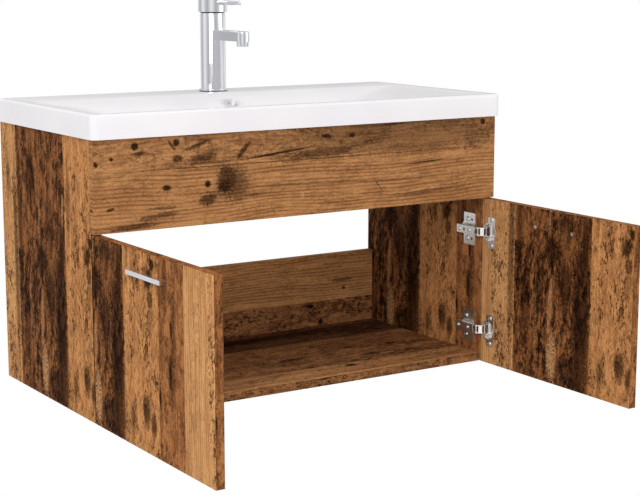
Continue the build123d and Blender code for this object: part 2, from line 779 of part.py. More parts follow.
def build_tap_inside():
    """The ceramic cartridge, the nut over it, and the turning carrier with its lift pin."""
    cartridge_top = cartridge_seat + cartridge_height
    cartridge = upright(cartridge_radius, cartridge_seat, cartridge_top)
    cartridge = cartridge - upright(carrier_radius + 0.3, cartridge_top - carrier_thickness - 2,
                                    cartridge_top + 1)
    for x, y in ((-7, -4), (7, -4), (0, 0)):
        cartridge = cartridge - upright(3.0, cartridge_seat - 1, cartridge_seat + 12, x, y)
    nut_bottom = cartridge_top
    nut_top = nut_bottom + 7
    nut = upright(cartridge_radius, nut_bottom, nut_top)
    nut = nut - upright(cartridge_nut_bore_radius, nut_bottom - 1, nut_top + 1)
    carrier_bottom = cartridge_top - carrier_thickness - 1.9
    carrier_top = pivot_z - stem_thickness / 2 - 2
    carrier = upright(carrier_radius, carrier_bottom, carrier_bottom + carrier_thickness)
    hub = upright(7.0, carrier_bottom, carrier_top)
    carrier = carrier + hub
    inner = stem_width / 2 + 0.3
    outer = inner + carrier_ear
    for s in (-1, 1):
        ear = block(s * inner, s * outer, tap_y - 5, tap_y + 5, carrier_bottom, pivot_z + 3.5)
        carrier = carrier + ear
    pin_hole = rod((-outer - 1, tap_y, pivot_z), (outer + 1, tap_y, pivot_z), lift_pin_radius)
    carrier = carrier - pin_hole
    pin = rod((-outer, tap_y, pivot_z), (outer, tap_y, pivot_z), lift_pin_radius)
    return cartridge, nut, carrier, pin


def build_lever():
    """The lifting and turning parts: stem on the pin, hollow cap, stick and grub screw."""
    cap_top = cap_bottom + cap_height
    ceiling = cap_top - cap_top_thickness
    half_x, half_y = stem_width / 2, stem_thickness / 2
    stem = block(-half_x, half_x, tap_y - half_y, tap_y + half_y, pivot_z, ceiling)
    heel = rod((-half_x, tap_y, pivot_z), (half_x, tap_y, pivot_z), half_y)
    stem = stem + heel
    stem = stem - rod((-half_x - 1, tap_y, pivot_z), (half_x + 1, tap_y, pivot_z),
                      lift_pin_radius + pivot_clearance)
    cap = upright(cap_radius, cap_bottom, cap_top)
    cap = fillet(cap.edges().filter_by_position(Axis.Z, cap_top - 0.01, cap_top + 0.01), 3.0)
    cap = cap - upright(cap_radius - cap_wall, cap_bottom - 1, ceiling)
    boss = block(-8, 8, tap_y - 7.5, tap_y + 7.5, cap_bottom + 10, ceiling)
    socket = block(-half_x, half_x, tap_y - half_y, tap_y + half_y, cap_bottom, ceiling)
    cap = cap + boss - socket
    tip_y = tap_y - lever_reach
    stick_hole = rod((0, tap_y - half_y, lever_z), (0, tap_y - cap_radius - 1, lever_z), 2.5)
    cap = cap - stick_hole
    threaded = rod((0, tap_y - half_y - 1, lever_z), (0, tap_y - cap_radius, lever_z), 2.5)
    start = tap_y - cap_radius + 0.6
    taper_length = start - tip_y
    middle = (start + tip_y) / 2
    stick = Plane(origin=(0, middle, lever_z), z_dir=(0, -1, 0)) * Cone(
        lever_root_radius, lever_tip_radius, taper_length)
    stick = fillet(stick.edges().sort_by(Axis.Y)[0:1], 1.5)
    stick = stick - upright(cap_radius + 0.05, cap_bottom, cap_top)
    stick = stick + threaded
    grub_hole = rod((0, tap_y + half_y, lever_z), (0, tap_y + cap_radius + 1, lever_z), 2.5)
    cap = cap - grub_hole
    grub = rod((0, tap_y + half_y, lever_z), (0, tap_y + 7.5, lever_z), 2.5)
    return stem, cap, stick, grub


def clamp_plate(z0, z1):
    """A round washer with a mouth for the hoses and a hole for the stud."""
    washer = upright(clamp_radius, z0, z1)
    mouth = block(-clamp_mouth_half, clamp_mouth_half, tap_y + 3, tap_y - clamp_radius - 1,
                  z0 - 1, z1 + 1)
    return washer - mouth - upright(stud_radius + drill_clearance, z0 - 1, z1 + 1, 0, stud_offset)


def build_tap_fixing():
    """What holds the tap down: stud, rubber and steel clamp washers and the nut."""
    deck_under = rim_top - deck_thickness
    stud = upright(stud_radius, body_bottom + stud_depth_in_tap - stud_length,
                   body_bottom + stud_depth_in_tap, 0, stud_offset)
    rubber = clamp_plate(deck_under - clamp_rubber, deck_under)
    steel = clamp_plate(deck_under - clamp_rubber - clamp_steel, deck_under - clamp_rubber)
    nut_top = deck_under - clamp_rubber - clamp_steel
    hexagon = RegularPolygon(nut_radius, 6)
    nut = Pos(0, tap_y + stud_offset, nut_top - nut_height) * extrude(hexagon, nut_height)
    nut = nut - upright(stud_radius, nut_top - nut_height - 1, nut_top + 1, 0, stud_offset)
    return stud, rubber, steel, nut


def main():
    """Builds every sub-part and writes it to its own file."""
    os.makedirs("parts", exist_ok=True)
    boards, fittings = build_carcass()
    groups = {name: [] for name in ("hinge_plates", "hinge_plate_screws", "hinge_arms",
                                    "hinge_arm_screws", "hinge_arm_pins")}
    for name, side in SIDES.items():
        panel = f"side_panel_{name}"
        per_door = {"links": [], "cup_pins": [], "cups": [], "cup_screws": []}
        for z in hinge_heights:
            for key, solids in build_hinge(side, z).items():
                (groups if key in groups else per_door)[key].extend(solids)
            for hz in pair(z, plate_screw_spacing):
                boards[panel] = boards[panel] - bore(side, board - chip_screw_length, board,
                                                     plate_screw_v, hz, chip_screw_radius)
        save(f"hinge_links_{name}", per_door["links"])
        save(f"hinge_cup_pins_{name}", per_door["cup_pins"])
        save(f"hinge_cups_{name}", per_door["cups"])
        save(f"hinge_cup_screws_{name}", per_door["cup_screws"])
        save(f"door_{name}", build_door(side))
        save(f"handle_{name}", build_handle(side))
        save(f"handle_screws_{name}", handle_screws(side))
    for name, solids in {**boards, **fittings, **groups}.items():
        save(name, solids)

    save("basin", build_basin())
    save("tap_body", build_tap_body())
    ring = upright(tap_ring_radius, body_bottom, body_bottom + tap_ring_height)
    save("tap_base_ring", ring - upright(tap_body_radius + drill_clearance, body_bottom - 1,
                                         body_bottom + tap_ring_height + 1))
    save("tap_base_seal", upright(seal_radius, rim_top, body_bottom)
         - upright(tap_hole_radius, rim_top - 1, body_bottom + 1))
    aerator_ring, aerator_insert = build_aerator()
    save("aerator_ring", aerator_ring)
    save("aerator_insert", aerator_insert)
    cartridge, nut, carrier, pin = build_tap_inside()
    save("tap_cartridge", cartridge)
    save("cartridge_nut", nut)
    save("lever_carrier", carrier)
    save("lever_lift_pin", pin)
    stem, cap, stick, grub = build_lever()
    save("lever_stem", stem)
    save("lever_cap", cap)
    save("lever_stick", stick)
    save("lever_grub_screw", grub)
    stud, rubber, steel, stud_nut = build_tap_fixing()
    save("tap_stud", stud)
    save("tap_rubber_washer", rubber)
    save("tap_steel_washer", steel)
    save("tap_nut", stud_nut)
    print("link turn", round(link_turn, 4), "door on link", round(door_on_link_turn, 4))
    print("arm pivot", arm_pivot, "cup pivot", cup_pivot, "underside", underside)


main()
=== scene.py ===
"""A wall-hung bathroom cabinet in aged-plank boards, with its basin, tap, hinges and handles."""

import json
from math import pi

import bmesh
import bpy
import numpy as np
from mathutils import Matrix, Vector

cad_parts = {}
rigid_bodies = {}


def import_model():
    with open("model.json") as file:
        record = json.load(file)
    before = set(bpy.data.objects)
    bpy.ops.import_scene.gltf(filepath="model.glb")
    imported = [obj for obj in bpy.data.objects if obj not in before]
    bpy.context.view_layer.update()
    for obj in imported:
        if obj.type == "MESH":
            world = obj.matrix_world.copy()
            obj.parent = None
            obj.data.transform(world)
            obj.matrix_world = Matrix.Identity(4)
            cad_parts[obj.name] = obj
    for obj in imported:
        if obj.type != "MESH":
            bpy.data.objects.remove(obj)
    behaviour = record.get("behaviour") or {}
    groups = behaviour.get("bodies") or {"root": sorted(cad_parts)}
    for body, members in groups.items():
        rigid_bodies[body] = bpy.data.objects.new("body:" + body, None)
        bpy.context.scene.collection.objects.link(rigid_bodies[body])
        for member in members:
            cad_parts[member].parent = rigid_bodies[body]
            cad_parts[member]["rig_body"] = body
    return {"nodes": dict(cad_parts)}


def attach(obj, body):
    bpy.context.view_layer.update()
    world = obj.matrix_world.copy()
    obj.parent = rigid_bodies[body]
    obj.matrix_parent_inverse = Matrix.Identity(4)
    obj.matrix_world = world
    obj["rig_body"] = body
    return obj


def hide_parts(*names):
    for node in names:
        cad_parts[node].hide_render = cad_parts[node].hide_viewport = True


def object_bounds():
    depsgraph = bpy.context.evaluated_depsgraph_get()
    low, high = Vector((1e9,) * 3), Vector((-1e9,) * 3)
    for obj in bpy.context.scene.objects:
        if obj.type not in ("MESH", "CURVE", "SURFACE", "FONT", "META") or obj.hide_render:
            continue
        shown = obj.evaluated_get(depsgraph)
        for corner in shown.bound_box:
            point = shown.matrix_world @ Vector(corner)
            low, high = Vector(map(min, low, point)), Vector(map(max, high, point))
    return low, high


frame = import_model()
nodes = frame["nodes"]
scene = bpy.context.scene


def corners(bounds):
    """A box as two plain lists."""
    return [list(corner) for corner in bounds]


cad_box = corners(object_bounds())


# The room. The cabinet hangs clear of a pale studio floor, seen from the front left by a long
# lens a little above the basin's rim and tipped down.
camera_place = (-1.43003, -2.64446, 0.47344)
camera_yaw = -0.570758
camera_tip = -0.172127
focal_px = 1585.34
image_width_px = 640
sensor_width = 36.0

camera = bpy.data.objects.new("camera", bpy.data.cameras.new("camera"))
scene.collection.objects.link(camera)
camera.location = camera_place
camera.rotation_euler = (pi / 2 + camera_tip, 0, camera_yaw)
camera.data.sensor_width = sensor_width
camera.data.lens = focal_px * sensor_width / image_width_px
scene.camera = camera
scene.view_settings.view_transform = "Standard"


# The studio floor lies well below the cabinet. To the camera it and the room are plain white.
# Other rays meet a grey floor and an uneven room, which metal and glaze reflect.
def node(tree, kind, links=None, **settings):
    """One shader node. Settings are its own properties; links are input to value or socket."""
    made = tree.nodes.new(kind)
    for name, value in settings.items():
        setattr(made, name, value)
    for key, value in (links or {}).items():
        if isinstance(value, bpy.types.NodeSocket):
            tree.links.new(value, made.inputs[key])
        else:
            made.inputs[key].default_value = value
    return made


def calc(tree, operation, *values):
    """The result of one Math node."""
    return node(tree, "ShaderNodeMath", dict(enumerate(values)), operation=operation).outputs[0]


def material(name):
    """A new material's tree and its Principled shader."""
    made = bpy.data.materials.new(name)
    made.use_nodes = True
    return made, made.node_tree, made.node_tree.nodes["Principled BSDF"]


def mesh_object(name, points, faces):
    """An object at the origin from arrays of points and faces."""
    mesh = bpy.data.meshes.new(name)
    mesh.from_pydata(np.asarray(points).tolist(), [], [list(face) for face in faces])
    made = bpy.data.objects.new(name, mesh)
    scene.collection.objects.link(made)
    return made


floor_drop = 0.52
floor_reach = 9.0
paper_grey = (0.82, 0.82, 0.83, 1)
paper_roughness = 0.9
white = (1, 1, 1, 1)

floor_z = cad_box[0][2] - floor_drop
floor = mesh_object("studio_floor", [(x * floor_reach, y * floor_reach, floor_z)
                                     for x, y in ((-1, -1), (1, -1), (1, 1), (-1, 1))],
                    [(0, 1, 2, 3)])
floor_finish, tree, shader = material("studio_paper")
light_path = node(tree, "ShaderNodeLightPath")
glow = node(tree, "ShaderNodeEmission", {"Color": white, "Strength": 1.0})
shader.inputs["Base Color"].default_value = paper_grey
shader.inputs["Roughness"].default_value = paper_roughness
seen_white = node(tree, "ShaderNodeMixShader", {0: light_path.outputs["Is Camera Ray"],
                                                1: shader.outputs[0], 2: glow.outputs[0]})
tree.links.new(seen_white.outputs[0], tree.nodes["Material Output"].inputs[0])
floor.data.materials.append(floor_finish)

room_light = 0.76
height_gain = 0.12
band_count = 5.0
band_gain = 0.22

world = bpy.data.worlds.new("soft_room")
world.use_nodes = True
scene.world = world
tree = world.node_tree
place = node(tree, "ShaderNodeTexCoord")
apart = node(tree, "ShaderNodeSeparateXYZ", {0: place.outputs["Generated"]})
turn = calc(tree, "ARCTAN2", apart.outputs["Y"], apart.outputs["X"])
bands = calc(tree, "SINE", calc(tree, "MULTIPLY", turn, band_count))
tall = calc(tree, "SMOOTH_MIN", calc(tree, "ABSOLUTE", apart.outputs["Z"]), 0.8, 0.1)
level = calc(tree, "MULTIPLY_ADD", tall, height_gain, room_light)
lit = calc(tree, "MULTIPLY_ADD", bands, band_gain, level)
room = node(tree, "ShaderNodeBackground", {"Color": white, "Strength": lit})
paper = node(tree, "ShaderNodeBackground", {"Color": white, "Strength": 1.0})
light_path = node(tree, "ShaderNodeLightPath")
both = node(tree, "ShaderNodeMixShader", {0: light_path.outputs["Is Camera Ray"],
                                          1: room.outputs[0], 2: paper.outputs[0]})
tree.links.new(both.outputs[0], tree.nodes["World Output"].inputs[0])


# Two soft square lamps face the front of the cabinet: a bright one at its left, and a dimmer
# and wider one at its right that fills the shadows.
def soft_light(name, place, aim, size, power):
    """A square area light at one place, turned to face another."""
    lamp = bpy.data.lights.new(name, "AREA")
    lamp.size = size
    lamp.energy = power
    made = bpy.data.objects.new(name, lamp)
    scene.collection.objects.link(made)
    made.location = place
    track = Vector(aim) - Vector(place)
    made.rotation_euler = track.to_track_quat("-Z", "Y").to_euler()


lamp_aim = (0, -0.3, 0)
soft_light("window_light", (-2.1, -2.3, 1.5), lamp_aim, 1.8, 46)
soft_light("fill_light", (2.4, -2.2, 1.2), lamp_aim, 2.2, 16)


# The boards are chipboard faced with a printed sheet of old planks, and banded with the same
# sheet on their edges. The print repeats, so each face shows its own window of it. Places on
# the sheet are metres across and along its planks. Upright and lying boards have a sheet each.
joint_wander = 0.005
grain_sway = 0.045
ring_spacing = 0.0062
chip_tone = (40, 20, 11)
pale_tone = (208, 160, 110)
stain_tone = (24, 11, 6)

upright_repeat = 0.538
PLANKS = (
    # start, light, middle and dark tone, (speckle, mottle, rings), (flecks, grit, streaks)
    (0.000, (162, 104, 60), (101, 59, 32), (22, 10, 5), (0.95, 1.00, 0.05), (1.00, 1.0, 0.9)),
    (0.200, (204, 144, 89), (160, 105, 62), (84, 48, 27), (1.00, 0.42, 0.10), (0.20, 1.0, 0.6)),
    (0.319, (176, 117, 70), (137, 85, 49), (62, 34, 19), (0.75, 0.55, 0.15), (0.15, 0.9, 0.8)),
    (0.398, (206, 154, 101), (176, 124, 78), (112, 72, 42), (0.40, 0.15, 0.55), (0.15, 0.6, 0.8)),
    (0.470, (212, 157, 102), (178, 124, 77), (92, 56, 33), (1.00, 0.30, 0.15), (0.20, 1.0, 0.7)),
)
lying_repeat = 0.750
LYING_PLANKS = (
    (0.000, (190, 137, 88), (152, 103, 65), (70, 42, 26), (0.60, 0.42, 0.30), (0.25, 0.9, 0.8)),
    (0.100, (188, 135, 86), (152, 102, 63), (84, 50, 29), (0.38, 0.25, 0.95), (0.15, 0.8, 0.7)),
    (0.194, (154, 103, 65), (112, 71, 44), (48, 28, 18), (1.00, 0.80, 0.10), (0.35, 1.0, 0.8)),
    # The next plank is the darkest. It is partly the print's own dark wood and partly painted
    # shade for the back of the bottom panel's top face.
    (0.275, (110, 71, 46), (74, 45, 29), (32, 18, 12), (0.80, 0.90, 0.10), (0.50, 1.0, 0.9)),
    (0.362, (160, 108, 67), (120, 78, 48), (62, 37, 23), (1.00, 0.50, 0.30), (0.20, 1.0, 0.8)),
    (0.450, (168, 116, 72), (130, 85, 52), (66, 40, 24), (1.00, 0.60, 0.20), (0.20, 1.0, 0.8)),
    (0.540, (200, 143, 92), (162, 110, 69), (88, 53, 32), (0.80, 0.30, 0.60), (0.20, 0.9, 0.7)),
    (0.600, (226, 168, 108), (190, 134, 84), (104, 64, 38), (0.38, 0.25, 0.80), (0.15, 0.8, 0.7)),
    (0.694, (196, 138, 90), (156, 103, 65), (62, 36, 22), (1.00, 0.70, 0.10), (0.35, 1.0, 0.8)),
)
# Marks: across, along, half width, half length, turn, strength, raggedness
STAINS = (
    (0.178, -0.130, 0.024, 0.180, 0.00, 0.85, 1.6),
    (0.186, 0.010, 0.010, 0.070, 0.00, 0.85, 1.5),
    (0.104, -0.004, 0.026, 0.028, 0.30, 0.80, 2.4),
    (0.140, 0.060, 0.018, 0.050, 0.00, 0.60, 2.4),
    (0.135, -0.060, 0.024, 0.050, 0.00, 0.75, 2.4),
    (0.030, -0.110, 0.014, 0.060, 0.00, 0.65, 2.4),
    (0.012, 0.020, 0.007, 0.160, 0.00, 0.60, 2.0),
    (0.060, 0.130, 0.020, 0.060, 0.00, 0.50, 2.4),
    (0.150, -0.210, 0.030, 0.030, 0.00, 0.70, 2.4),
    (0.070, -0.060, 0.012, 0.060, 0.00, 0.55, 2.4),
    (0.299, 0.050, 0.009, 0.009, 0.30, 1.00, 2.0),
    (0.288, 0.026, 0.014, 0.022, -0.45, 0.95, 3.0),
    (0.292, -0.004, 0.010, 0.018, 0.10, 0.80, 3.0),
    (0.290, -0.040, 0.012, 0.030, 0.00, 0.40, 2.4),
    (0.276, -0.178, 0.014, 0.026, 0.00, 0.80, 3.2),
    (0.300, -0.195, 0.010, 0.020, 0.00, 0.80, 3.0),
    (0.216, 0.110, 0.006, 0.080, 0.00, 0.55, 2.6),
    (0.230, -0.200, 0.010, 0.024, 0.00, 0.60, 3.0),
    (0.359, -0.038, 0.004, 0.018, 0.10, 0.95, 1.2),
    (0.356, -0.100, 0.006, 0.030, 0.00, 0.90, 1.8),
    (0.322, -0.146, 0.004, 0.016, 0.00, 0.95, 1.0),
    (0.366, -0.070, 0.010, 0.080, 0.00, 0.45, 2.4),
    (0.372, 0.110, 0.010, 0.050, 0.00, 0.60, 2.4),
    (0.340, 0.030, 0.008, 0.060, 0.00, 0.55, 2.4),
    (0.528, -0.020, 0.010, 0.200, 0.00, 0.70, 3.0),
    (0.500, 0.120, 0.008, 0.040, 0.00, 0.50, 3.0),
)
PALES = (
    (0.098, -0.110, 0.006, 0.050, -0.05, 0.60, 2.2),
    (0.104, -0.195, 0.013, 0.045, 0.00, 1.00, 2.8),
    (0.060, -0.150, 0.004, 0.070, 0.00, 0.35, 2.4),
    (0.095, 0.060, 0.004, 0.040, -0.05, 0.40, 2.4),
    (0.192, 0.085, 0.004, 0.036, -0.10, 0.70, 1.4),
)
LYING_STAINS = (
    (0.058, -0.328, 0.0072, 0.0080, 0.0, 1.0, 0.3),
    (0.056, -0.254, 0.0066, 0.0068, 0.0, 1.0, 0.3),
    (0.076, -0.369, 0.0034, 0.0040, 0.0, 1.0, 0.4),
    (0.083, -0.396, 0.0050, 0.0035, 0.5, 1.0, 0.8),
    (0.053, 0.372, 0.0068, 0.0068, 0.0, 1.0, 0.3),
    (0.128, -0.272, 0.0056, 0.0092, 0.0, 1.0, 0.4),
    (0.127, -0.197, 0.0066, 0.0066, 0.0, 1.0, 0.3),
    (0.156, -0.372, 0.0030, 0.0090, 0.2, 0.9, 1.4),
    (0.070, -0.322, 0.0036, 0.0130, 0.1, 0.8, 1.8),
    (0.082, -0.252, 0.0070, 0.0120, 0.0, 0.9, 2.4),
    (0.082, -0.205, 0.0090, 0.0260, 0.1, 0.75, 2.8),
    (0.062, -0.215, 0.0040, 0.0300, 0.3, 0.8, 2.6),
    (0.060, -0.262, 0.0030, 0.0130, -0.9, 0.8, 1.6),
    (0.092, -0.190, 0.0030, 0.0500, 0.0, 0.6, 2.2),
    (0.084, -0.060, 0.0024, 0.0800, 0.10, 0.95, 1.0),
    (0.076, -0.130, 0.0050, 0.0200, 0.8, 0.9, 2.2),
    (0.088, 0.030, 0.0090, 0.0900, 0.05, 0.7, 2.2),
    (0.061, 0.034, 0.0050, 0.0130, -0.1, 1.0, 1.8),
    (0.062, 0.086, 0.0050, 0.0090, 0.3, 1.0, 1.4),
    (0.048, 0.170, 0.0018, 0.0350, 0.0, 0.8, 1.0),
    (0.060, 0.285, 0.0014, 0.0260, -0.6, 0.8, 0.8),
    (0.066, 0.190, 0.0340, 0.2600, 0.0, 0.50, 2.2),
    (0.098, 0.000, 0.0012, 0.4200, 0.0, 0.70, 0.6),
    (0.131, -0.165, 0.0160, 0.0150, 0.0, 1.0, 1.4),
    (0.124, -0.160, 0.0300, 0.0240, 0.0, 0.90, 2.4),
    (0.130, -0.146, 0.0340, 0.0280, 0.0, 0.65, 3.2),
    (0.152, -0.196, 0.0110, 0.0200, 0.20, 0.85, 3.6),
    (0.150, -0.130, 0.0050, 0.0400, 0.0, 0.60, 3.0),
    (0.172, -0.285, 0.0050, 0.0450, 0.12, 0.65, 3.4),
    (0.186, -0.330, 0.0050, 0.0500, 0.05, 0.80, 2.6),
    (0.160, -0.280, 0.0030, 0.0300, 0.0, 0.60, 2.6),
    (0.118, 0.245, 0.0014, 0.0550, 0.05, 1.0, 0.6),
    (0.172, 0.240, 0.0040, 0.0700, 0.05, 0.45, 1.8),
    (0.150, 0.140, 0.0012, 0.0200, -0.9, 0.7, 0.8),
    (0.142, 0.060, 0.0030, 0.2200, -0.03, 0.35, 2.2),
    (0.736, 0.260, 0.0062, 0.0062, 0.0, 1.0, 0.6),
    (0.702, 0.236, 0.0050, 0.0080, 0.0, 1.0, 0.8),
    (0.655, 0.310, 0.0040, 0.0300, 0.0, 0.7, 1.8),
    (0.300, 0.000, 0.0160, 0.3000, 0.0, 0.65, 2.4),
    (0.560, 0.130, 0.0070, 0.0130, 0.0, 1.0, 1.6),
    (0.470, 0.060, 0.0090, 0.0300, 0.0, 0.8, 2.8),
    (0.440, 0.200, 0.0045, 0.0080, 0.0, 1.0, 1.0),
    (0.506, 0.210, 0.0090, 0.0250, 0.0, 0.8, 2.8),
    (0.515, 0.290, 0.0045, 0.0080, 0.0, 1.0, 1.0),
    (0.540, 0.340, 0.0040, 0.0060, 0.0, 1.0, 1.0),
    (0.455, 0.290, 0.0050, 0.0110, 0.0, 0.9, 1.6),
)
LYING_PALES = (
    (0.051, -0.244, 0.0040, 0.0050, 0.0, 1.0, 0.8),
    (0.160, -0.015, 0.0070, 0.0050, 0.0, 0.6, 1.6),
    (0.103, -0.280, 0.0010, 0.0200, 0.0, 0.7, 1.0),
)


def blended(tree, factor, a, b):
    """A colour that is a where the factor is 0 and b where it is 1."""
    return node(tree, "ShaderNodeMix", {0: factor, 6: a, 7: b}, data_type="RGBA").outputs[2]


def chosen(tree, factor, a, b):
    """A number that is a where the factor is 0 and b where it is 1."""
    return node(tree, "ShaderNodeMix", {0: factor, 2: a, 3: b}, data_type="FLOAT").outputs[0]


def linear(red, green, blue):
    """A colour as seen on a screen, each from 0 to 255, turned into light."""
    seen = np.array([red, green, blue]) / 255
    light = np.where(seen <= 0.04045, seen / 12.92, ((seen + 0.055) / 1.055) ** 2.4)
    return (*light.tolist(), 1.0)


def ramp(tree, position, stops):
    """A stepped colour ramp over 0 to 1."""
    made = node(tree, "ShaderNodeValToRGB", {0: position})
    made.color_ramp.interpolation = "CONSTANT"
    for k, (at, colour) in enumerate(stops):
        elements = made.color_ramp.elements
        stop = elements[k] if k < 2 else elements.new(at)
        stop.position = at
        stop.color = colour
    return made.outputs[0]


def stretched(tree, point, wide, tall, depth, detail, roughness=0.6):
    """Noise stretched along the grain: wide and tall are its scales per metre."""
    scaled = node(tree, "ShaderNodeVectorMath", {0: point, 1: (wide, tall, 1.0)},
                  operation="MULTIPLY")
    moved = node(tree, "ShaderNodeVectorMath", {0: scaled.outputs[0], 1: depth}, operation="ADD")
    return node(tree, "ShaderNodeTexNoise", {
        "Vector": moved.outputs[0], "Scale": 1.0, "Detail": detail,
        "Roughness": roughness}).outputs[0]


def stepped(tree, value, low, high, top=1.0):
    """0 at low, top at high, smooth between."""
    return node(tree, "ShaderNodeMapRange", {0: value, 1: low, 2: high, 3: 0.0, 4: top},
                interpolation_type="SMOOTHSTEP").outputs[0]


def group_tree(name, inputs, outputs):
    """An empty node group with named sockets, its input node and its output node."""
    tree = bpy.data.node_groups.new(name, "ShaderNodeTree")
    for label, kind in inputs:
        tree.interface.new_socket(label, in_out="INPUT", socket_type=kind)
    for label, kind in outputs:
        tree.interface.new_socket(label, in_out="OUTPUT", socket_type=kind)
    return tree, tree.nodes.new("NodeGroupInput"), tree.nodes.new("NodeGroupOutput")


def marked(tree, point, ragged, marks):
    """How strongly the marks cover a place: each is an ellipse with a torn edge."""
    cover = 0.0
    for across, along, half_width, half_length, turn, strength, tear in marks:
        local = node(tree, "ShaderNodeMapping", {
            "Vector": point, "Location": (across, along, 0), "Rotation": (0, 0, turn),
            "Scale": (half_width, half_length, 1)}, vector_type="TEXTURE")
        flat = node(tree, "ShaderNodeVectorMath", {0: local.outputs[0], 1: (1, 1, 0)},
                    operation="MULTIPLY")
        far = node(tree, "ShaderNodeVectorMath", {0: flat.outputs[0]}, operation="LENGTH")
        torn = calc(tree, "MULTIPLY_ADD", ragged, tear, far.outputs["Value"])
        cover = calc(tree, "MAXIMUM", cover, stepped(tree, torn, 1.2, 0.55, strength))
    return cover


def plank_print(name, repeat, planks, stains, pales):
    """The printed sheet as a node group: colour, roughness and height at a place on it."""
    tree, given, result = group_tree(
        name, [("Across", "NodeSocketFloat"), ("Along", "NodeSocketFloat")],
        [("Color", "NodeSocketColor"), ("Roughness", "NodeSocketFloat"),
         ("Height", "NodeSocketFloat")])
    along = given.outputs["Along"]
    across = calc(tree, "FLOORED_MODULO", given.outputs["Across"], repeat)
    point = node(tree, "ShaderNodeCombineXYZ", {0: across, 1: along, 2: 0.0}).outputs[0]
    wander = stretched(tree, point, 0.0, 22.0, (0, 0, 3.1), 3.0)
    wandered = calc(tree, "MULTIPLY_ADD", calc(tree, "SUBTRACT", wander, 0.5), joint_wander,
                    across)
    share = calc(tree, "DIVIDE", wandered, repeat)

    def by_plank(colours):
        return ramp(tree, share, [(p[0] / repeat, c) for p, c in zip(planks, colours)])

    light = by_plank([linear(*p[1]) for p in planks])
    middle = by_plank([linear(*p[2]) for p in planks])
    dark = by_plank([linear(*p[3]) for p in planks])
    speckle, mottle, rings = node(tree, "ShaderNodeSeparateColor", {
        0: by_plank([(*p[4], 1) for p in planks])}).outputs
    flecks, grit, streaks = node(tree, "ShaderNodeSeparateColor", {
        0: by_plank([(*p[5], 1) for p in planks])}).outputs
    order = by_plank([(k / len(planks),) * 3 + (1,) for k in range(len(planks))])
    seed = node(tree, "ShaderNodeVectorMath", {0: order, 1: (31.0, 17.0, 53.0)},
                operation="MULTIPLY").outputs[0]

    bend = stretched(tree, point, 6.0, 2.2, seed, 2.0)
    sway = node(tree, "ShaderNodeCombineXYZ", {
        0: calc(tree, "MULTIPLY", calc(tree, "SUBTRACT", bend, 0.5), grain_sway)}).outputs[0]
    bent = node(tree, "ShaderNodeVectorMath", {0: point, 1: sway}, operation="ADD").outputs[0]
    fibre = stretched(tree, bent, 480.0, 34.0, seed, 4.0, 0.7)
    streak = stretched(tree, bent, 95.0, 6.0, seed, 4.0, 0.65)
    patch = stretched(tree, bent, 85.0, 36.0, seed, 7.0, 0.8)
    cloud = stretched(tree, bent, 17.0, 6.0, seed, 4.0, 0.6)
    chip = stretched(tree, bent, 250.0, 100.0, seed, 6.0, 0.8)
    cluster = stretched(tree, bent, 32.0, 13.0, seed, 4.0, 0.65)
    grain = stretched(tree, point, 520.0, 260.0, seed, 4.0, 0.8)

    bent_across = node(tree, "ShaderNodeSeparateXYZ", {0: bent}).outputs[0]
    wave = calc(tree, "SINE", calc(tree, "MULTIPLY", bent_across, 2 * pi / ring_spacing))
    line = calc(tree, "POWER", calc(tree, "MULTIPLY_ADD", wave, 0.5, 0.5), 3.0)
    line = calc(tree, "MULTIPLY", line, stepped(tree, streak, 0.34, 0.58))
    line = calc(tree, "MULTIPLY", line, rings)

    shade = calc(tree, "MULTIPLY", stepped(tree, streak, 0.30, 0.72), streaks)
    shade = calc(tree, "MULTIPLY_ADD", calc(tree, "SUBTRACT", fibre, 0.5), 1.5, shade)
    shade = calc(tree, "ADD", shade, calc(tree, "MULTIPLY", line, 0.9))
    shade = node(tree, "ShaderNodeClamp", {0: shade}).outputs[0]
    colour = blended(tree, shade, light, middle)
    darkened = calc(tree, "MULTIPLY", stepped(tree, patch, 0.44, 0.56), mottle)
    darkened = calc(tree, "MULTIPLY", darkened, stepped(tree, cloud, 0.26, 0.58))
    colour = blended(tree, darkened, colour, dark)
    colour = blended(tree, calc(tree, "MULTIPLY", line, 0.38), colour, dark)

    dirty = calc(tree, "MULTIPLY_ADD", stepped(tree, cluster, 0.36, 0.66), 0.11, chip)
    chips = calc(tree, "MULTIPLY", stepped(tree, dirty, 0.585, 0.635), speckle)
    gritty = calc(tree, "MULTIPLY", stepped(tree, grain, 0.53, 0.62), grit)
    colour = blended(tree, calc(tree, "MULTIPLY", gritty, 0.60), colour, dark)
    colour = blended(tree, calc(tree, "MULTIPLY", chips, 0.85), colour,
                     linear(*chip_tone))

    ragged = calc(tree, "SUBTRACT", stretched(tree, point, 240.0, 150.0, (0, 0, 5.0), 6.0, 0.8),
                  0.5)
    pale = marked(tree, point, ragged, pales)
    fleck = calc(tree, "MULTIPLY", stepped(tree, grain, 0.44, 0.34), flecks)
    fleck = calc(tree, "MULTIPLY", fleck, stepped(tree, cluster, 0.62, 0.42))
    pale = calc(tree, "MAXIMUM", calc(tree, "MULTIPLY", fleck, 0.55),
                calc(tree, "MULTIPLY", pale, stepped(tree, grain, 0.56, 0.42)))
    colour = blended(tree, pale, colour, linear(*pale_tone))
    stain = marked(tree, point, ragged, stains)
    thin = chosen(tree, stepped(tree, grain, 0.56, 0.44), 1.0, 0.84)
    colour = blended(tree, calc(tree, "MULTIPLY", stain, thin), colour,
                     linear(*stain_tone))
    tree.links.new(colour, result.inputs["Color"])
    black = calc(tree, "MAXIMUM", stain, chips)
    tree.links.new(calc(tree, "MULTIPLY_ADD", black, 0.15, 0.55), result.inputs["Roughness"])
    height = calc(tree, "SUBTRACT", calc(tree, "MULTIPLY", fibre, 0.5), chips)
    tree.links.new(height, result.inputs["Height"])
    return tree


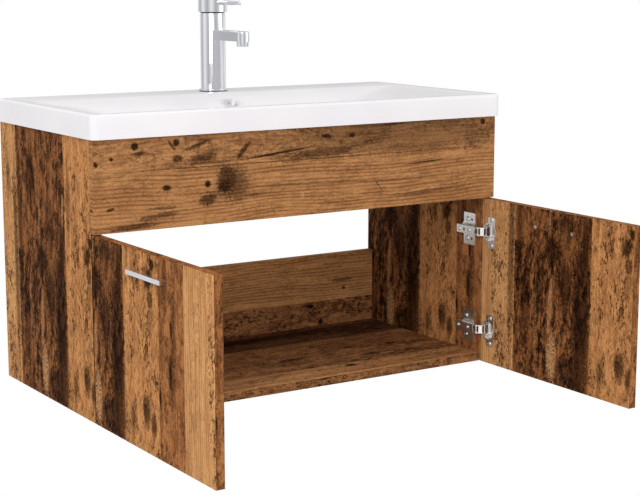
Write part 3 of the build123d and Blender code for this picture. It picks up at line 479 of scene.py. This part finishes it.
upright_print = plank_print("old_planks_upright", upright_repeat, PLANKS, STAINS, PALES)
lying_print = plank_print("old_planks_lying", lying_repeat, LYING_PLANKS, LYING_STAINS,
                          LYING_PALES)


def board_place(name, upright):
    """Where on the sheet a point of a board lies, from its own place and the way it faces."""
    tree, given, result = group_tree(
        name, [("Point", "NodeSocketVector"), ("Facing", "NodeSocketVector"),
               ("Front offset", "NodeSocketFloat"), ("Back offset", "NodeSocketFloat"),
               ("Edge offset", "NodeSocketFloat")],
        [("Across", "NodeSocketFloat"), ("Along", "NodeSocketFloat")])
    x, y, z = node(tree, "ShaderNodeSeparateXYZ", {0: given.outputs["Point"]}).outputs
    nx, ny, nz = node(tree, "ShaderNodeSeparateXYZ", {0: given.outputs["Facing"]}).outputs
    faces_x = calc(tree, "GREATER_THAN", calc(tree, "ABSOLUTE", nx), 0.6)
    faces_z = calc(tree, "GREATER_THAN", calc(tree, "ABSOLUTE", nz), 0.6)
    minus_y = calc(tree, "MULTIPLY", y, -1.0)
    minus_z = calc(tree, "MULTIPLY", z, -1.0)
    if upright:
        across = chosen(tree, faces_x, x, minus_y)
        along = chosen(tree, faces_z, z, y)
        back = calc(tree, "GREATER_THAN", nx, 0.0)
    else:
        across = chosen(tree, faces_z, minus_z, minus_y)
        along = chosen(tree, faces_x, x, y)
        back = calc(tree, "GREATER_THAN", calc(tree, "ADD", ny, nz), 0.0)
    offset = chosen(tree, back, given.outputs["Front offset"], given.outputs["Back offset"])
    if upright:
        offset = chosen(tree, faces_x, given.outputs["Edge offset"], offset)
    tree.links.new(calc(tree, "ADD", across, offset), result.inputs["Across"])
    tree.links.new(along, result.inputs["Along"])
    return tree


upright_place = board_place("place_on_upright_board", True)
lying_place = board_place("place_on_lying_board", False)


def aged_board(name, upright, front_offset, back_offset, edge_offset=0.0):
    """The finish of one board: its windows of the sheet on its two faces and its edges."""
    made, tree, shader = material(name)
    coordinate = node(tree, "ShaderNodeTexCoord")
    place = node(tree, "ShaderNodeGroup", node_tree=upright_place if upright else lying_place)
    tree.links.new(coordinate.outputs["Object"], place.inputs["Point"])
    tree.links.new(coordinate.outputs["Normal"], place.inputs["Facing"])
    place.inputs["Front offset"].default_value = front_offset
    place.inputs["Back offset"].default_value = back_offset
    place.inputs["Edge offset"].default_value = edge_offset
    sheet = node(tree, "ShaderNodeGroup", node_tree=upright_print if upright else lying_print)
    for socket in ("Across", "Along"):
        tree.links.new(place.outputs[socket], sheet.inputs[socket])
    bump = node(tree, "ShaderNodeBump", {"Height": sheet.outputs["Height"], "Strength": 0.5,
                                         "Distance": 0.0004})
    tree.links.new(sheet.outputs["Color"], shader.inputs["Base Color"])
    tree.links.new(sheet.outputs["Roughness"], shader.inputs["Roughness"])
    tree.links.new(bump.outputs[0], shader.inputs["Normal"])
    shader.inputs["Specular IOR Level"].default_value = 0.012
    return made


same_point = 1e-6
flat_angle = 0.01
crease_angle = 0.6
edge_segments = 2


def softened(name, finish, edge, angle=crease_angle):
    """A copy of a CAD piece with its edges rounded, standing in for it in that finish's slot."""
    piece = bpy.data.objects.new(f"{name}_finished", nodes[name].data.copy())
    scene.collection.objects.link(piece)
    shape = bmesh.new()
    shape.from_mesh(piece.data)
    bmesh.ops.remove_doubles(shape, verts=shape.verts, dist=same_point)
    bmesh.ops.dissolve_limit(shape, angle_limit=flat_angle, verts=shape.verts,
                             edges=shape.edges)
    for face in shape.faces:
        face.smooth = True
    shape.to_mesh(piece.data)
    shape.free()
    piece.data.set_sharp_from_angle(angle=angle)
    piece.data.materials.clear()
    piece.data.materials.append(finish)
    if edge:
        rounding = piece.modifiers.new("rounded_edges", "BEVEL")
        rounding.width = edge
        rounding.segments = edge_segments
        rounding.limit_method = "ANGLE"
        rounding.angle_limit = angle
        rounding.harden_normals = True
    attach(piece, nodes[name]["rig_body"])
    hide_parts(name)


board_edge = 0.0005
BOARD_WINDOWS = {
    # board: upright, offset on the face towards -X, -Y or -Z, on the face opposite, and on an
    # upright board's edges
    "side_panel_left": (True, -0.067, 0.150, 0.950),
    "side_panel_right": (True, 0.023, -0.300, 0.950),
    "door_left": (True, -0.281, -0.120, 0.722),
    "door_right": (True, -0.467, -0.250, 0.480),
    "front_fascia": (False, 0.260, 0.330),
    "lower_back_rail": (False, 0.516, 0.100),
    "upper_back_rail": (False, 0.200, 0.060),
    # The bottom panel's back offset puts the darkest lying plank at the back of its top face:
    # dark wood there, deepened as painted shade.
    "bottom_panel": (False, 0.250, 0.240),
}
for board, (upright, *offsets) in BOARD_WINDOWS.items():
    softened(board, aged_board(f"aged_board_{board}", upright, *offsets), board_edge)


# The boards are joined by turned beech dowels, and drawn together by cast zinc cam locks that
# grip the heads of bolts. All of these sit inside the boards.
dowel_edge = 0.0006
fitting_edge = 0.0002


def turned_wood(name, tone):
    """Plain beech: fine long flecks."""
    made, tree, shader = material(name)
    coordinate = node(tree, "ShaderNodeTexCoord")
    flecks = node(tree, "ShaderNodeTexNoise", {"Vector": coordinate.outputs["Object"],
                                               "Scale": 900.0, "Detail": 3.0}).outputs[0]
    colour = blended(tree, stepped(tree, flecks, 0.45, 0.7), linear(*tone),
                     linear(*(0.75 * np.array(tone))))
    tree.links.new(colour, shader.inputs["Base Color"])
    shader.inputs["Roughness"].default_value = 0.6
    return made


def metal(name, tone, low, high, brushed=(1, 1, 1), scale=260.0, smear=0.06):
    """A metal finish: a tone with faint smears, and fine lines or grain in its roughness."""
    made, tree, shader = material(name)
    coordinate = node(tree, "ShaderNodeTexCoord")
    lines = node(tree, "ShaderNodeMapping", {"Vector": coordinate.outputs["Object"],
                                             "Scale": brushed})
    fine = node(tree, "ShaderNodeTexNoise", {"Vector": lines.outputs[0], "Scale": scale,
                                             "Detail": 4.0, "Roughness": 0.6}).outputs[0]
    cloudy = node(tree, "ShaderNodeTexNoise", {"Vector": coordinate.outputs["Object"],
                                               "Scale": 28.0, "Detail": 3.0}).outputs[0]
    dulled = stepped(tree, cloudy, 0.35, 0.75)
    base = linear(*tone)
    colour = blended(tree, calc(tree, "MULTIPLY", dulled, smear), base,
                     (0.25 * base[0], 0.25 * base[1], 0.25 * base[2], 1.0))
    tree.links.new(colour, shader.inputs["Base Color"])
    rough = chosen(tree, stepped(tree, fine, 0.3, 0.75), low, high)
    tree.links.new(calc(tree, "MULTIPLY_ADD", dulled, smear * 0.5, rough),
                   shader.inputs["Roughness"])
    bump = node(tree, "ShaderNodeBump", {"Height": fine, "Strength": 0.12, "Distance": 0.0001})
    tree.links.new(bump.outputs[0], shader.inputs["Normal"])
    shader.inputs["Metallic"].default_value = 1.0
    return made


beech = turned_wood("dowel_wood", (214, 176, 126))
softened("joint_dowels", beech, dowel_edge)
fitting_zinc = metal("fitting_zinc", (176, 178, 182), 0.38, 0.55)
for fitting in ("cam_locks", "cam_bolts"):
    softened(fitting, fitting_zinc, fitting_edge)


# The hinges are stamped and folded steel, nickel plated: a winged plate screwed to the side, a
# channel arm on it, a U-shaped link on two pins and a pressed cup let into the door. The pins,
# the screws of hinges and handles and what clamps the tap are zinc-plated steel.
steel_edge = 0.00025
hinge_nickel = metal("hinge_nickel", (236, 234, 230), 0.26, 0.40)
zinc_steel = metal("zinc_steel", (214, 214, 216), 0.28, 0.42)
STEEL_PIECES = {
    hinge_nickel: ("hinge_plates", "hinge_arms", "hinge_links_left", "hinge_links_right",
                   "hinge_cups_left", "hinge_cups_right"),
    zinc_steel: ("hinge_plate_screws", "hinge_arm_screws", "hinge_arm_pins",
                 "hinge_cup_pins_left", "hinge_cup_pins_right", "hinge_cup_screws_left",
                 "hinge_cup_screws_right", "handle_screws_left", "handle_screws_right",
                 "tap_stud", "tap_steel_washer", "tap_nut"),
}
for finish, names in STEEL_PIECES.items():
    for name in names:
        softened(name, finish, steel_edge)


# The handles are folded satin steel bars with a lip to pull on. Each is held by two screws
# through the door.
handle_edge = 0.0004
brushed_along_y = (1, 0.03, 1)
brush_scale = 1400.0
handle_metal = metal("handle_metal", (240, 240, 242), 0.20, 0.32, brushed_along_y, brush_scale)
for side in ("left", "right"):
    softened(f"handle_{side}", handle_metal, handle_edge)


# The basin is slip-cast fireclay with a white glaze, in one piece with its bowl and overflow.
# The glaze isn't quite even in tone or level. The casting's edges are round already, so they
# get no rounding here and are only shaded smooth.
basin_crease = 1.1
glaze_light = (230, 227, 229)
glaze_dark = (225, 222, 225)
basin_glaze, tree, shader = material("basin_glaze")
coordinate = node(tree, "ShaderNodeTexCoord")
pool = node(tree, "ShaderNodeTexNoise", {"Vector": coordinate.outputs["Object"], "Scale": 7.0,
                                         "Detail": 2.0}).outputs[0]
colour = blended(tree, stepped(tree, pool, 0.3, 0.7), linear(*glaze_light),
                 linear(*glaze_dark))
tree.links.new(colour, shader.inputs["Base Color"])
shader.inputs["Roughness"].default_value = 0.2
shader.inputs["Coat Weight"].default_value = 0.25
ripple = node(tree, "ShaderNodeTexNoise", {"Vector": coordinate.outputs["Object"],
                                           "Scale": 30.0, "Detail": 1.0}).outputs[0]
bump = node(tree, "ShaderNodeBump", {"Height": ripple, "Strength": 0.05, "Distance": 0.0008})
tree.links.new(bump.outputs[0], shader.inputs["Normal"])
softened("basin", basin_glaze, 0.0, angle=basin_crease)


# The tap is cast brass, polished and chrome plated, clamped through the basin's tap hole. Its
# working parts inside are bare brass and moulded plastic, and its seals are rubber.
tap_edge = 0.0003
tap_inner_edge = 0.0002
tap_chrome = metal("tap_chrome", (226, 228, 232), 0.03, 0.07, smear=0.03)
for name in ("tap_body", "tap_base_ring", "aerator_ring", "lever_cap", "lever_stick"):
    softened(name, tap_chrome, tap_edge)
tap_brass = metal("tap_brass", (196, 160, 92), 0.25, 0.4)
for name in ("cartridge_nut", "lever_stem", "lever_lift_pin", "lever_grub_screw"):
    softened(name, tap_brass, tap_inner_edge)


def moulded(name, tone, roughness):
    """Rubber or plastic with a fine moulded grain."""
    made, tree, shader = material(name)
    coordinate = node(tree, "ShaderNodeTexCoord")
    grain = node(tree, "ShaderNodeTexNoise", {"Vector": coordinate.outputs["Object"],
                                              "Scale": 1500.0, "Detail": 2.0}).outputs[0]
    colour = blended(tree, grain, linear(*tone), linear(*(0.8 * np.array(tone))))
    tree.links.new(colour, shader.inputs["Base Color"])
    tree.links.new(calc(tree, "MULTIPLY_ADD", grain, 0.15, roughness), shader.inputs["Roughness"])
    return made


tap_rubber = moulded("tap_rubber", (46, 46, 48), 0.6)
for name in ("tap_base_seal", "tap_rubber_washer"):
    softened(name, tap_rubber, tap_edge)
tap_plastic = moulded("tap_plastic", (226, 226, 222), 0.35)
for name in ("tap_cartridge", "lever_carrier", "aerator_insert"):
    softened(name, tap_plastic, tap_inner_edge)
